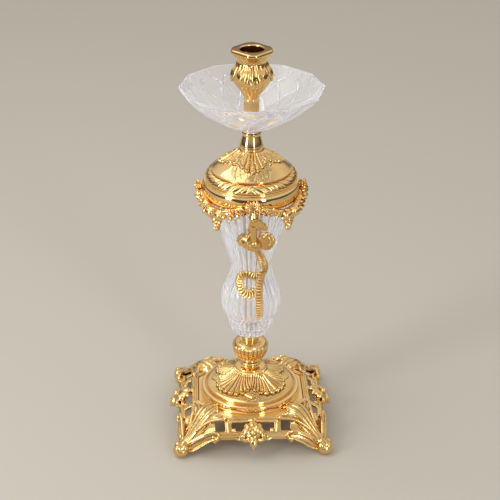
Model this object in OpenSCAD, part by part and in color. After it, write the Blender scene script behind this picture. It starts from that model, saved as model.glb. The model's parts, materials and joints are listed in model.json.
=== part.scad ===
// Brass and crystal candlestick.
// A square openwork base carries a turned stem, a fluted glass vase and a cast cap, all clamped
// on one tie rod. A loose glass drip dish sits on the neck, and a candle cup screws in above it.

/* [Base] */
// Distance across the flats of the octagonal platform
platform_w = 116; // [112:1:118]
// Height of the platform's face inside its raised border
platform_z = 33; // [32:0.5:34]
// Distance from the axis to a foot's centre, along each side
foot_reach = 71.7; // [70:0.1:73]
// Radius of a ball foot
foot_r = 8.2; // [7.5:0.1:8.6]
// Distance from the axis to the outer face of a side rail
rail_reach = 74; // [72:0.5:75]
// Distance from the axis to the face of a shell pendant
pendant_reach = 83.7; // [82:0.1:85]

/* [Foot and lower stem] */
// Outer radius of the half-round foot ring
foot_ring_r = 50; // [48:0.5:52]
// Height of the foot ring
foot_ring_h = 7.5; // [7:0.5:8]
// Radius of the lip round the acanthus dome
dome_lip_r = 45.1; // [44:0.1:46]
// Height of the acanthus dome
dome_h = 19.5; // [19:0.5:21]
// Radius of the flange that stands on the dome
collar_r = 15.3; // [14:0.1:16]
// Height of the flanged collar
collar_h = 10; // [9:0.5:11]
// Largest radius of the gadrooned knop
knop_r = 17.8; // [16:0.1:19]
// Height of the knop
knop_h = 23.5; // [22:0.5:25]
// Radius of the three-ring seat under the vase
seat_r = 9.6; // [9:0.1:11]
// Height of the seat
seat_h = 5.5; // [5:0.5:7]

/* [Glass vase] */
// Height of the vase
vase_h = 162; // [156:1:166]
// Thickness of the vase's wall
vase_wall = 4.5; // [3.5:0.5:5]
// Thickness of the glass at the vase's floor
vase_floor = 9; // [7:1:10]
// Thickness of each gasket
gasket_t = 1; // [0.8:0.1:1.2]

/* [Cap and neck] */
// Largest radius of the cap
cap_r = 47.3; // [46:0.1:48]
// How far the cap hangs down over the vase's mouth
cap_skirt = 9; // [8:0.5:10]
// Height of the cap's bowl above the upper gasket
cap_bowl_h = 8; // [7:0.5:9]
// Height of the leaf band
band_h = 9.5; // [8:0.5:10]
// Radius of the dome's edge
cap_dome_r = 38.7; // [37:0.1:40]
// Height of the cap's dome
cap_dome_h = 18.5; // [17:0.5:20]
// Radius of the neck at its top ring
neck_r = 9.4; // [9.1:0.1:10]
// Height of the neck
neck_h = 19; // [18:0.5:20]

/* [Drip dish and candle cup] */
// Radius of the dish at the points of its rim
dish_r = 69; // [66:0.5:71]
// Height of the dish
dish_h = 44; // [42:1:46]
// Radius of the stem that passes through the dish
stem_r = 7.3; // [7:0.1:7.4]
// Height of the stem
stem_h = 34; // [32:0.5:36]
// Radius of the candle bore
candle_r = 11.25; // [10.5:0.05:11.5]
// Depth of the candle bore
candle_depth = 24; // [22:0.5:25]
// Height of the candle cup
cup_h = 48; // [47:0.5:49]

/* [Fasteners] */
// Radius of the tie rod and of the cup's stud
rod_r = 4; // [3.5:0.5:4]
// Radial clearance of the screwed fits
fit_gap = 0.06; // [0.03:0.01:0.09]

/* [Hidden] */
$fn = 72;
brass = [0.80, 0.60, 0.27];
pale_brass = [0.88, 0.71, 0.40];
steel = [0.62, 0.62, 0.64];
glass = [0.88, 0.93, 0.98, 0.45];
rubber = [0.16, 0.15, 0.14];

// Levels up the stack, from the table to the rim of the cup.
ring_z = platform_z;
dome_z = ring_z + foot_ring_h;
collar_z = dome_z + dome_h;
knop_z = collar_z + collar_h;
seat_z = knop_z + knop_h;
vase_z = seat_z + seat_h + gasket_t;
vase_top = vase_z + vase_h;
cap_z = vase_top + gasket_t;
band_z = cap_z + cap_bowl_h;
cap_dome_z = band_z + band_h;
neck_z = cap_dome_z + cap_dome_h;
dish_seat_z = neck_z + neck_h;
cup_z = dish_seat_z + stem_h;
rim_z = cup_z + cup_h;

slab_t = 3.5;
nut_h = 6.5;
nut_flat_r = 7.5;
washer_t = 1.6;
rod_low = platform_z - slab_t - 2 * washer_t - nut_h - 3;
rod_high = neck_z + 9.5;
sleeve_r = 5.5;
dish_hole_r = stem_r + 0.6;
cup_socket = 9;

// The garland is fixed to the cap at four points and hangs lowest between them.
garland_z = cap_z - 2;
garland_r = cap_r + 3.4;
garland_sag = 10;
bow_r = 6;
medallion_z = garland_z - garland_sag - 1.5;
trophy_z = vase_top - 44;
trophy_tilt = 21;

// A Catmull-Rom curve through a list of points, with n steps in each span.
function spline(p, n) = let (last = len(p) - 1) concat(
    [for (i = [0 : last - 1], j = [0 : n - 1])
        let (t = j / n, a = p[max(i - 1, 0)], b = p[i], c = p[i + 1], d = p[min(i + 2, last)])
        0.5 * (2 * b + (c - a) * t + (2 * a - 5 * b + 4 * c - d) * t * t
            + (3 * b - a - 3 * c + d) * t * t * t)],
    [p[last]]);

function reversed(p) = [for (i = [len(p) - 1 : -1 : 0]) p[i]];

module turned(outline, z = 0) {
    translate([0, 0, z]) rotate_extrude() polygon(outline);
}

module ring(r_out, r_in, h, z) {
    translate([0, 0, z]) difference() {
        cylinder(r = r_out, h = h);
        translate([0, 0, -1]) cylinder(r = r_in, h = h + 2);
    }
}

module rod_hole(z, h, r = rod_r + fit_gap) {
    translate([0, 0, z]) cylinder(r = r, h = h);
}

module hex_nut(z) {
    difference() {
        translate([0, 0, z]) cylinder(r = nut_flat_r, h = nut_h, $fn = 6);
        rod_hole(z - 1, nut_h + 2);
    }
}

// ---- Base: one casting ----

module octagon(across, h, z) {
    translate([0, 0, z]) rotate(22.5)
        cylinder(r = across / 2 / cos(22.5), h = h, $fn = 8);
}

module platform() {
    border = 3;
    border_h = 1.2;
    octagon(platform_w, slab_t, platform_z - slab_t);
    difference() {
        octagon(platform_w, border_h + 1, platform_z - 1);
        octagon(platform_w - 2 * border, border_h + 2, platform_z - 1.5);
    }
}

// A cabriole leg along +X: its side outline follows two curves, and its plan tapers to the foot.
leg_reach = foot_reach * sqrt(2);
leg_back = spline([[52, 34], [60, 37], [69, 35], [78, 27.5], [87, 20], [96, 15]], 5);
leg_belly = spline([[96, 5], [88, 7], [80, 13], [70, 21], [60, 27], [52, 30]], 5);
leg_plan = spline([[52, 20], [64, 19], [76, 15], [86, 12], [94, 7], [100, 5]], 3);

module leg() {
    intersection() {
        rotate([90, 0, 0]) linear_extrude(40, center = true) polygon(concat(leg_back, leg_belly));
        linear_extrude(60)
            polygon(concat(leg_plan, reversed([for (q = leg_plan) [q[0], -q[1]]])));
    }
    translate([leg_reach, 0, foot_r]) intersection() {
        sphere(r = foot_r);
        translate([0, 0, foot_r]) cube(4 * foot_r, center = true);
    }
    translate([leg_reach, 0, 0]) cylinder(r = 0.7 * foot_r, h = foot_r);
    for (a = [-60, -20, 20, 60])
        translate([leg_reach, 0, 0.62 * foot_r]) rotate(a) translate([0.66 * foot_r, 0, 0])
            sphere(r = 0.36 * foot_r);
}

// One side of the fretwork, facing -Y. The panel slopes from the platform to the rail.
fret_top = platform_w / 2 - 2;
fret_slope = atan2(8, rail_reach - fret_top - 3);
fret_run = (rail_reach - fret_top - 1) / cos(fret_slope);

module fret_panel() {
    t = 3;
    top_half = 26;
    low_half = 44;
    translate([0, -fret_top, platform_z - 1]) rotate([fret_slope, 0, 0])
        translate([0, 0, -t]) linear_extrude(t) difference() {
            polygon([[-top_half, 0], [top_half, 0], [low_half, -fret_run], [-low_half, -fret_run]]);
            for (s = [-1, 1]) {
                polygon([[5 * s, -4.5], [20 * s, -4.5], [22 * s, -15], [10 * s, -15], [5 * s, -10]]);
                polygon([[24 * s, -7], [29 * s, -9], [35 * s, -15], [26 * s, -15]]);
            }
        }
}

module rail() {
    h = 6;
    half = 54;
    low = platform_z - 15;
    translate([-half, -rail_reach, low]) cube([2 * half, 5, h]);
    for (s = [-1, 1]) translate([40 * s, -rail_reach + 5, low]) rotate([90, 0, 0])
        cylinder(r = 3.5, h = 6);
}

// A shell with a pointed drop, standing out of the middle of each rail.
module shell_pendant() {
    depth = pendant_reach - rail_reach + 4;
    z = platform_z - 9.5;
    translate([0, -pendant_reach, z]) rotate([-90, 0, 0]) {
        cylinder(r1 = 4.5, r2 = 8.5, h = depth);
        linear_extrude(depth) polygon([[-6, 4], [6, 4], [0, 11.5]]);
    }
}

module base() {
    color(brass) difference() {
        union() {
            platform();
            for (a = [0 : 90 : 270]) rotate(a) {
                fret_panel();
                rail();
                shell_pendant();
                rotate(45) leg();
            }
        }
        rod_hole(0, platform_z + 5);
    }
}

// ---- Foot and lower stem ----

module foot_ring() {
    tube = foot_ring_h / 2;
    bead = 0.8;
    color(pale_brass) {
        rotate_extrude() translate([foot_ring_r - tube, ring_z + tube]) circle(r = tube);
        ring(foot_ring_r - tube, dome_lip_r - 8, foot_ring_h, ring_z);
        ring(foot_ring_r + bead, dome_lip_r - 8, 1.6, ring_z);
    }
}

dome_skin = spline([[41.5, 4.3], [36, 5.8], [28.5, 8.8], [21.5, 12.6], [17, 16.2], [15.4, dome_h]], 4);

module foot_dome() {
    hole = rod_r + fit_gap;
    color(brass) turned(concat([[37, 0], [dome_lip_r, 0], [dome_lip_r, 2.6], [dome_lip_r - 2.2, 4]],
        dome_skin, [[hole, dome_h], [hole, dome_h - 3], [13, dome_h - 3],
        [14.5, 12.5], [19, 8.4], [26, 5], [37, 2]]), dome_z);
}

module foot_collar() {
    band_r = 9.8;
    neck = 7.2;
    color(pale_brass) difference() {
        turned(concat([[0, 0], [collar_r, 0], [collar_r, 1.6]],
            spline([[collar_r - 0.6, 2.2], [12, 2.8], [10.4, 4]], 4),
            [[band_r, 4], [band_r, 7.4], [8.4, 7.4], [neck, 8.4], [neck, collar_h], [0, collar_h]]),
            collar_z);
        rod_hole(collar_z - 1, collar_h + 2);
    }
}

module knop() {
    color(brass) difference() {
        turned(concat([[0, 0], [7.6, 0]],
            spline([[8, 1], [12, 2.6], [15.6, 7], [17.4, 11.5], [knop_r, 15.5], [knop_r - 0.6, 18],
                [15, 21], [9.8, knop_h - 0.8]], 4),
            [[8.4, knop_h], [0, knop_h]]), knop_z);
        rod_hole(knop_z - 1, knop_h + 2);
    }
}

module vase_seat() {
    groove = 1.2;
    step = seat_h / 3;
    color(pale_brass) difference() {
        union() {
            translate([0, 0, seat_z]) cylinder(r = seat_r - groove, h = seat_h);
            for (i = [0 : 2]) translate([0, 0, seat_z + i * step + 0.1])
                cylinder(r = seat_r - 0.3 * (2 - i), h = step - 0.5);
        }
        rod_hole(seat_z - 1, seat_h + 2);
    }
}

module lower_gasket() {
    color(rubber) ring(seat_r - 0.4, sleeve_r + 0.2, gasket_t, vase_z - gasket_t);
}

// ---- Glass vase ----

vase_curve = spline([[12, 0], [17.5, 3], [20.8, 7], [23.2, 17], [22.6, 22], [27.9, 28.5], [29.6, 40],
    [27.8, 52], [23.2, 62], [20.8, 74], [21, 82], [25.5, 99.5], [31.4, 119], [42.6, 153],
    [43.4, vase_h]], 4);
function vase_r(z) = lookup(z - vase_z, [for (q = vase_curve) [q[1], q[0]]]);

module vase() {
    bore = [for (q = vase_curve) if (q[1] > vase_floor + 2) [q[0] - vase_wall, q[1]]];
    hole = sleeve_r + 0.4;
    color(glass) turned(concat([[hole, 0]], vase_curve, reversed(bore),
        [[bore[0][0] - 4, vase_floor], [hole, vase_floor]]), vase_z);
}

module upper_gasket() {
    color(rubber) ring(43.2, 43.4 - vase_wall, gasket_t, vase_top);
}

// ---- Tie rod and its fixings ----

module rod_sleeve() {
    color(brass) ring(sleeve_r, rod_r + 0.3, neck_z - 3 - vase_z + gasket_t, vase_z - gasket_t);
}

module tie_rod() {
    color(steel) translate([0, 0, rod_low]) cylinder(r = rod_r, h = rod_high - rod_low);
}

module rod_washer() {
    color(steel) ring(12, rod_r + 0.3, washer_t, platform_z - slab_t - washer_t);
}

// A split spring washer: the slot is open on one side.
module lock_washer() {
    color(steel) difference() {
        ring(7, rod_r + 0.3, washer_t, platform_z - slab_t - 2 * washer_t);
        translate([rod_r, -0.4, 0]) cube([6, 0.8, platform_z]);
    }
}

module rod_nut() {
    color(steel) hex_nut(platform_z - slab_t - 2 * washer_t - nut_h);
}

// ---- Cap ----

module cap_bowl() {
    lip = 1.2;
    mouth = 43.4 + 0.4;
    color(pale_brass) difference() {
        turned(concat([[mouth, -cap_skirt]],
            spline([[mouth + lip, -cap_skirt], [46.2, -cap_skirt + 4], [cap_r, 0.5], [46.8, 5],
                [45, cap_bowl_h - 1.2]], 4),
            [[46, cap_bowl_h - 1.2], [46, cap_bowl_h], [35, cap_bowl_h], [35, 4], [38, 0], [mouth, 0]]),
            cap_z);
        for (a = [0 : 90 : 270]) rotate(a) translate([40, 0, garland_z]) rotate([0, 90, 0])
            cylinder(r = 1.2, h = 12);
    }
}

module leaf_band() {
    color(brass) turned(concat([[35, 0]],
        spline([[45, 0], [44.6, 2.5], [42.6, 6], [cap_dome_r + 0.6, band_h - 0.8]], 4),
        [[cap_dome_r, band_h], [34, band_h]]), band_z);
}

cap_curve = spline([[cap_dome_r, 0], [cap_dome_r - 1, 1.4], [31, 7.6], [21, 14], [12, cap_dome_h]], 4);

module cap_dome() {
    hub = cap_dome_h - 3;
    color(pale_brass) difference() {
        turned(concat([[36, 0]], cap_curve, [[0, cap_dome_h], [0, hub], [10, hub], [20, 10.6],
            [30, 4.6], [35.5, 0.8]]), cap_dome_z);
        rod_hole(cap_dome_z - 1, cap_dome_h + 2);
    }
}

module cap_nut() {
    color(steel) hex_nut(neck_z);
}

// Eight acanthus leaves that lie on the dome: four long and four short.
module leaf_plan(reach, half_angle) {
    tip = spline([[reach * 0.3, -reach * 0.2], [reach * 0.7, -reach * sin(half_angle)],
        [reach * 0.92, -reach * 0.2], [reach, 0], [reach * 0.92, reach * 0.2],
        [reach * 0.7, reach * sin(half_angle)], [reach * 0.3, reach * 0.2]], 3);
    polygon(tip);
}

module leaf_calyx() {
    thick = 1.6;
    top = [for (q = cap_curve) if (q[0] < 33) [q[0], q[1] + thick]];
    under = [for (q = cap_curve) if (q[0] < 33) [q[0], q[1] + 0.02]];
    color(brass) translate([0, 0, cap_dome_z]) intersection() {
        rotate_extrude() polygon(concat(under, reversed(top)));
        linear_extrude(40) union() {
            circle(r = 15);
            for (a = [0 : 90 : 270]) rotate(a) {
                leaf_plan(31, 24);
                rotate(45) leaf_plan(24, 22);
            }
        }
    }
}

module neck_spool() {
    color(pale_brass) difference() {
        turned(concat([[0, 0], [11.4, 0], [11.4, 4], [10.8, 4.8]],
            spline([[11.2, 5.6], [10.6, 8.5], [9.6, 13], [8.4, 16]], 4),
            [[neck_r, 16.4], [neck_r, neck_h], [0, neck_h]]), neck_z);
        translate([0, 0, neck_z - 1]) cylinder(r = nut_flat_r + 0.5, h = nut_h + 1.5);
        rod_hole(neck_z, neck_h + 1);
    }
}

// ---- Drip dish ----

module dish_washer() {
    color(rubber) ring(neck_r - 0.2, stem_r + 0.15, 0.8, dish_seat_z);
}

module drip_dish() {
    lift = 0.9;
    under = spline([[10, 2.6], [20, 6.2], [35, 14.4], [50, 24.6], [60, 33.4], [dish_r - 0.5, dish_h - 2]], 4);
    inside = spline([[10, 8], [20, 11.4], [35, 19.4], [50, 29.4], [60, 37.6], [dish_r - 2.6, dish_h]], 4);
    color(glass) translate([0, 0, dish_seat_z + lift]) difference() {
        intersection() {
            rotate_extrude() polygon(concat([[0, 0], [10, 0]], under,
                [[dish_r + 1, dish_h - 1.4], [dish_r + 1, dish_h]], reversed(inside), [[0, 7.6]]));
            cylinder(r = dish_r, h = dish_h + 1, $fn = 12);
        }
        translate([0, 0, -1]) cylinder(r = dish_hole_r, h = 12);
    }
}

// ---- Candle cup ----

module cup_stem() {
    ring_r = 7.6;
    color(pale_brass) difference() {
        turned([[0, 0.05], [stem_r, 0.05], [stem_r, stem_h - 3], [ring_r, stem_h - 2.4],
            [ring_r, stem_h - 0.8], [stem_r - 0.6, stem_h], [0, stem_h]], dish_seat_z);
        rod_hole(dish_seat_z - 1, stem_h + 2);
    }
}

module cup_stud() {
    color(steel) translate([0, 0, rod_high + 0.5])
        cylinder(r = rod_r, h = cup_z + cup_socket - 1 - rod_high);
}

module candle_cup() {
    lip = 1.6;
    neck = [[14.2, 35], [14.6, 37], [16.4, 41], [18.4, 44.5]];
    color(brass) difference() {
        union() {
            turned(concat([[0, 0], [7.2, 0]],
                spline([[7.6, 1], [9.2, 4], [13, 10], [17.8, 15.5], [19.2, 21.5], [18, 27],
                    [15, 31.5], [14.2, 35]], 4),
                [[14.2, 37], [0, 37]]), cup_z);
            intersection() {
                turned(concat([[0, 34]], spline(neck, 4), [[18.4, 46.6], [17.4, cup_h], [0, cup_h]]), cup_z);
                // The flared rim is a square with round corners, set with its corners on the axes.
                translate([0, 0, cup_z + 30]) rotate(45) linear_extrude(cup_h) union() {
                    for (a = [0, 90]) rotate(a) square([33, 17], center = true);
                    for (a = [45 : 90 : 315]) rotate(a) translate([11.4, 0]) circle(r = 8);
                }
            }
        }
        translate([0, 0, rim_z - candle_depth]) cylinder(r = candle_r, h = candle_depth + 1);
        translate([0, 0, rim_z - lip]) cylinder(r1 = candle_r, r2 = candle_r + 0.8, h = lip + 0.01);
        rod_hole(cup_z - 1, cup_socket + 1);
    }
}

// ---- Garland ----

// One swag between two bows, seen in the +X +Y quarter: a swept rope of leaves with a medallion
// and a drop at its lowest point.
module swag(turn) {
    sides = 10;
    rings = 18;
    start = 6.6;
    points = [for (i = [0 : rings]) let (
            a = start + i * (90 - 2 * start) / rings,
            fat = 3 + 1.3 * sin(2 * a),
            z = garland_z - garland_sag * pow(sin(2 * a), 1.4))
        for (j = [0 : sides - 1]) let (b = 360 * j / sides, r = garland_r + fat * cos(b))
            [r * cos(a), r * sin(a), z + 1.2 * fat * sin(b)]];
    skin = [for (i = [0 : rings - 1], j = [0 : sides - 1]) let (k = (j + 1) % sides)
        [i * sides + j, i * sides + k, (i + 1) * sides + k, (i + 1) * sides + j]];
    ends = [[for (j = [sides - 1 : -1 : 0]) j], [for (j = [0 : sides - 1]) rings * sides + j]];
    color(brass) rotate(turn) {
        polyhedron(points, concat(skin, ends));
        rotate(45) {
            translate([garland_r + 0.8, 0, medallion_z]) sphere(r = 4.6);
            translate([garland_r - 0.4, 0, medallion_z - 20]) cylinder(r1 = 1, r2 = 4.2, h = 17);
        }
    }
}

module bow(turn) {
    depth = 4;
    color(brass) rotate(turn) difference() {
        translate([cap_r + 0.05, 0, garland_z]) rotate([0, 90, 0]) cylinder(r = bow_r, h = depth);
        translate([cap_r - 1, 0, garland_z]) rotate([0, 90, 0]) cylinder(r = 1.25, h = depth + 2);
    }
}

module garland_screws() {
    shank = 7;
    color(brass) for (a = [0 : 90 : 270]) rotate(a) translate([cap_r + 4.05, 0, garland_z])
        rotate([0, 90, 0]) {
            translate([0, 0, -shank]) cylinder(r = 1.15, h = shank + 0.5);
            cylinder(r1 = 2.2, r2 = 1.6, h = 1);
        }
}

// A pendant that hangs from a bow along the sloping glass: a fluted tassel over a crossed horn
// and fan. It is drawn flat, x across and y up, then tilted to the glass.
module trophy(turn) {
    thick = 4;
    color(brass) rotate(turn) {
        translate([0, -vase_r(trophy_z) - 0.8, trophy_z]) rotate([trophy_tilt, 0, 0]) rotate([90, 0, 0]) {
            linear_extrude(thick) {
                polygon([[-3, 37], [4, 37], [9, 26], [-6, 26]]);
                translate([-2, 10]) square([4, 18]);
                polygon([[-15, 14], [-10, 18], [0, 13], [7, -2], [2, -5], [-10, 2]]);
            }
            linear_extrude(thick - 1) polygon([[21, -4], [22, 4], [16, 16], [11, 18], [2, 2], [6, -4]]);
        }
        // The strap that joins the tassel to its bow.
        translate([-2, -cap_r - 2.7, garland_z - bow_r - 6]) cube([4, 2.6, 7]);
    }
}

// A ribbon of cast brass that winds down over the glass. Its route is given as x and height on
// the front of the vase.
ribbon_route = [[4, 215], [5, 207], [8, 196], [12, 186], [12, 178], [4, 174], [-6, 173], [-13, 169],
    [-13, 163], [-5, 160], [4, 159], [7, 152], [7, 142], [7, 133]];
ribbon_path = spline(ribbon_route, 3);

function on_glass(q, off) = let (r = vase_r(q[1]) + off) [q[0], -sqrt(r * r - q[0] * q[0]), q[1]];

module ribbon(turn) {
    half = 3.4;
    near = 0.5;
    thick = 1.6;
    last = len(ribbon_path) - 1;
    rings = [for (i = [0 : last]) let (
            d = ribbon_path[min(i + 1, last)] - ribbon_path[max(i - 1, 0)],
            side = half / norm(d) * [d[1], -d[0]],
            q = ribbon_path[i])
        each [on_glass(q - side, near), on_glass(q + side, near),
            on_glass(q + side, near + thick), on_glass(q - side, near + thick)]];
    skin = [for (i = [0 : last - 1], j = [0 : 3]) let (k = (j + 1) % 4)
        [4 * i + j, 4 * i + k, 4 * i + 4 + k, 4 * i + 4 + j]];
    ends = [[3, 2, 1, 0], [for (j = [0 : 3]) 4 * last + j]];
    color(pale_brass) rotate(turn) polyhedron(rings, concat(skin, ends));
}

base();
foot_ring();
foot_dome();
foot_collar();
knop();
vase_seat();
lower_gasket();
vase();
upper_gasket();
rod_sleeve();
tie_rod();
rod_washer();
lock_washer();
rod_nut();
cap_bowl();
leaf_band();
cap_dome();
cap_nut();
leaf_calyx();
neck_spool();
dish_washer();
drip_dish();
cup_stem();
cup_stud();
candle_cup();
swag(0);  // swag_back_right
swag(90);  // swag_back_left
swag(180);  // swag_front_left
swag(270);  // swag_front_right
bow(0);  // bow_right
bow(90);  // bow_back
bow(180);  // bow_left
bow(270);  // bow_front
garland_screws();
trophy(0);  // trophy_front
trophy(180);  // trophy_back
ribbon(0);  // ribbon_front
ribbon(180);  // ribbon_back
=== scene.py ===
import json
import math
import bmesh
import bpy
import numpy as np
from mathutils import Matrix, Vector


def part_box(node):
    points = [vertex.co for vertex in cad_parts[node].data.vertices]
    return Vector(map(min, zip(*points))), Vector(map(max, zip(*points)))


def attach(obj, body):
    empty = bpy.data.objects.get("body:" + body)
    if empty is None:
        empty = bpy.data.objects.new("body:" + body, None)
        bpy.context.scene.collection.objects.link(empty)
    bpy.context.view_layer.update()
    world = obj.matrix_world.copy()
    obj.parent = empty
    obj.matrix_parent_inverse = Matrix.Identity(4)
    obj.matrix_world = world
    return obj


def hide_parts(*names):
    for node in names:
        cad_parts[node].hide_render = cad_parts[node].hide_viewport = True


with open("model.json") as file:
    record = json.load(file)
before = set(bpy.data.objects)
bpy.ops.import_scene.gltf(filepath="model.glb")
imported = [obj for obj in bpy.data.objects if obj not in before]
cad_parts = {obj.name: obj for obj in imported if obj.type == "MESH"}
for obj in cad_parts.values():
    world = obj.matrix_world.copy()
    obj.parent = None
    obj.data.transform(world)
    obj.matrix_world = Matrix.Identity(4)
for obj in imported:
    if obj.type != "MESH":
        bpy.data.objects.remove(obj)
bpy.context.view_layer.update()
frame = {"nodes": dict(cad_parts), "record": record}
mm = 0.001
tau = 2 * math.pi
print("frame loaded:", len(frame["nodes"]), "nodes")


# curves and meshes

def spline(points, steps):
    # Catmull-Rom through points of any dimension
    p = np.array(points, float)
    p = np.vstack([p[:1], p, p[-1:]])
    out = []
    for i in range(1, len(p) - 2):
        a, b, c, d = p[i - 1], p[i], p[i + 1], p[i + 2]
        for t in np.linspace(0, 1, steps, endpoint=False):
            out.append(0.5 * (2 * b + (c - a) * t + (2 * a - 5 * b + 4 * c - d) * t ** 2
                              + (3 * b - a - 3 * c + d) * t ** 3))
    out.append(p[-2])
    return np.array(out)


def spaced(points, step):
    # the same line with points evenly spaced, about one step apart
    p = np.array(points, float)
    run = np.concatenate([[0], np.cumsum(np.linalg.norm(np.diff(p, axis=0), axis=1))])
    count = max(2, int(round(run[-1] / step)) + 1)
    at = np.linspace(0, run[-1], count)
    return np.stack([np.interp(at, run, p[:, k]) for k in range(p.shape[1])], axis=1)


def rounded(corners, steps=4):
    # an outline of (radius, height, fillet) corners, each fillet an arc
    out = []
    n = len(corners)
    for i, (x, y, fillet) in enumerate(corners):
        here = np.array([x, y])
        if fillet == 0:
            out.append(here)
            continue
        back = np.array(corners[i - 1][:2]) - here
        ahead = np.array(corners[(i + 1) % n][:2]) - here
        cut = min(fillet, 0.48 * np.linalg.norm(back), 0.48 * np.linalg.norm(ahead))
        start = here + back / np.linalg.norm(back) * cut
        end = here + ahead / np.linalg.norm(ahead) * cut
        for t in np.linspace(0, 1, steps + 1):
            out.append((1 - t) ** 2 * start + 2 * t * (1 - t) * here + t ** 2 * end)
    return np.array(out)


def smooth(x, low, high):
    t = np.clip((np.asarray(x, float) - low) / (high - low), 0, 1)
    return t * t * (3 - 2 * t)


def build(name, points, faces, sharp=40, merge=True):
    # a mesh object from points in millimetres, with its doubles merged and its faces outward
    mesh = bpy.data.meshes.new(name)
    mesh.from_pydata((np.asarray(points) * mm).tolist(), [], [list(map(int, f)) for f in faces])
    if merge:
        bm = bmesh.new()
        bm.from_mesh(mesh)
        bmesh.ops.remove_doubles(bm, verts=bm.verts, dist=1e-6)
        bmesh.ops.dissolve_degenerate(bm, edges=bm.edges, dist=1e-7)
        bmesh.ops.recalc_face_normals(bm, faces=bm.faces)
        bm.to_mesh(mesh)
        bm.free()
    finishShade(mesh, sharp)
    piece = bpy.data.objects.new(name, mesh)
    bpy.context.scene.collection.objects.link(piece)
    return piece


def finishShade(mesh, sharp=40):
    mesh.polygons.foreach_set("use_smooth", [True] * len(mesh.polygons))
    mesh.set_sharp_from_angle(angle=math.radians(sharp))
    mesh.update()


def gridFaces(rows, cols, closeRows=False, closeCols=False):
    i = np.arange(rows if closeRows else rows - 1)
    j = np.arange(cols if closeCols else cols - 1)
    a, b = np.meshgrid(i, j, indexing="ij")
    c, d = (a + 1) % rows, (b + 1) % cols
    return np.stack([a * cols + b, c * cols + b, c * cols + d, a * cols + d], axis=-1).reshape(-1, 4)


def turn(name, outline, around=160, skin=0, relief=None, sharp=40, plan=None):
    # a closed outline of (radius, height) turned about the axis; relief moves its first
    # skin points along the outline's own normal, and plan reshapes it as seen from above
    p = np.array(outline, float)
    theta = np.arange(around) * tau / around
    r = np.repeat(p[None, :, 0], around, axis=0)
    z = np.repeat(p[None, :, 1], around, axis=0)
    if relief is not None:
        s = p[:skin]
        along = np.gradient(s, axis=0)
        along /= np.linalg.norm(along, axis=1)[:, None] + 1e-9
        normal = np.stack([along[:, 1], -along[:, 0]], axis=1)
        run = np.concatenate([[0], np.cumsum(np.linalg.norm(np.diff(s, axis=0), axis=1))])
        depth = relief(theta[:, None], (run / run[-1])[None, :], s[None, :, 0], s[None, :, 1])
        r[:, :skin] += depth * normal[None, :, 0]
        z[:, :skin] += depth * normal[None, :, 1]
    if plan is not None:
        r = plan(theta[:, None], r, z)
    points = np.stack([r * np.cos(theta)[:, None], r * np.sin(theta)[:, None], z], axis=-1)
    return build(name, points.reshape(-1, 3), gridFaces(around, len(p), True, True), sharp)


def markHollows(mesh, reach=14):
    # how far each point lies under or over a smoothed copy of its own surface, in millimetres
    count = len(mesh.vertices)
    place, facing = np.empty(count * 3, np.float32), np.empty(count * 3, np.float32)
    mesh.vertices.foreach_get("co", place)
    mesh.vertices.foreach_get("normal", facing)
    place, facing = place.reshape(-1, 3) / mm, facing.reshape(-1, 3)
    ends = np.empty(len(mesh.edges) * 2, np.int32)
    mesh.edges.foreach_get("vertices", ends)
    a, b = ends[0::2], ends[1::2]
    near = np.bincount(a, minlength=count) + np.bincount(b, minlength=count)
    soft = place.astype(float)
    for _ in range(reach):
        pull = [np.bincount(a, soft[b, k], count) + np.bincount(b, soft[a, k], count) for k in range(3)]
        soft = 0.3 * soft + 0.7 * np.stack(pull, axis=1) / np.maximum(near, 1)[:, None]
    under = np.sum((soft - place) * facing, axis=1).astype(np.float32)
    mesh.attributes.new("hollow", "FLOAT", "POINT").data.foreach_set("value", under)


def reliefTurn(name, skin, rest, level, around, relief, sharp=50, plan=None):
    # a turned piece whose skin carries the relief and whose other sides stay plain
    return turn(name, np.vstack([skin, rest]) + [0, level], around, len(skin), relief, sharp, plan)


def low(node):
    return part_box(node)[0].z / mm


def keep(piece, material, slot, body, *nodes):
    # what every finished piece is told
    piece.data.materials.clear()
    piece.data.materials.append(material)
    if material != cutGlass:
        markHollows(piece.data)
    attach(piece, body)
    if nodes:
        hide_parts(*nodes)


# node trees

class Link:
    # one socket of a node tree, so that shader and geometry maths read as expressions
    def __init__(self, tree, socket):
        self.tree = tree
        self.socket = socket

    def maths(self, operation, *values):
        return self.tree.node("ShaderNodeMath", {"operation": operation}, dict(enumerate(values)))

    def __add__(self, other): return self.maths("ADD", self, other)
    def __radd__(self, other): return self.maths("ADD", other, self)
    def __sub__(self, other): return self.maths("SUBTRACT", self, other)
    def __rsub__(self, other): return self.maths("SUBTRACT", other, self)
    def __mul__(self, other): return self.maths("MULTIPLY", self, other)
    def __rmul__(self, other): return self.maths("MULTIPLY", other, self)
    def __getitem__(self, name): return Link(self.tree, self.socket.node.outputs[name])

    def ramp(self, start, end):
        # 0 below start, 1 above end
        settings = {"clamp": True}
        return self.tree.node("ShaderNodeMapRange", settings, {0: self, 1: start, 2: end})


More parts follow.
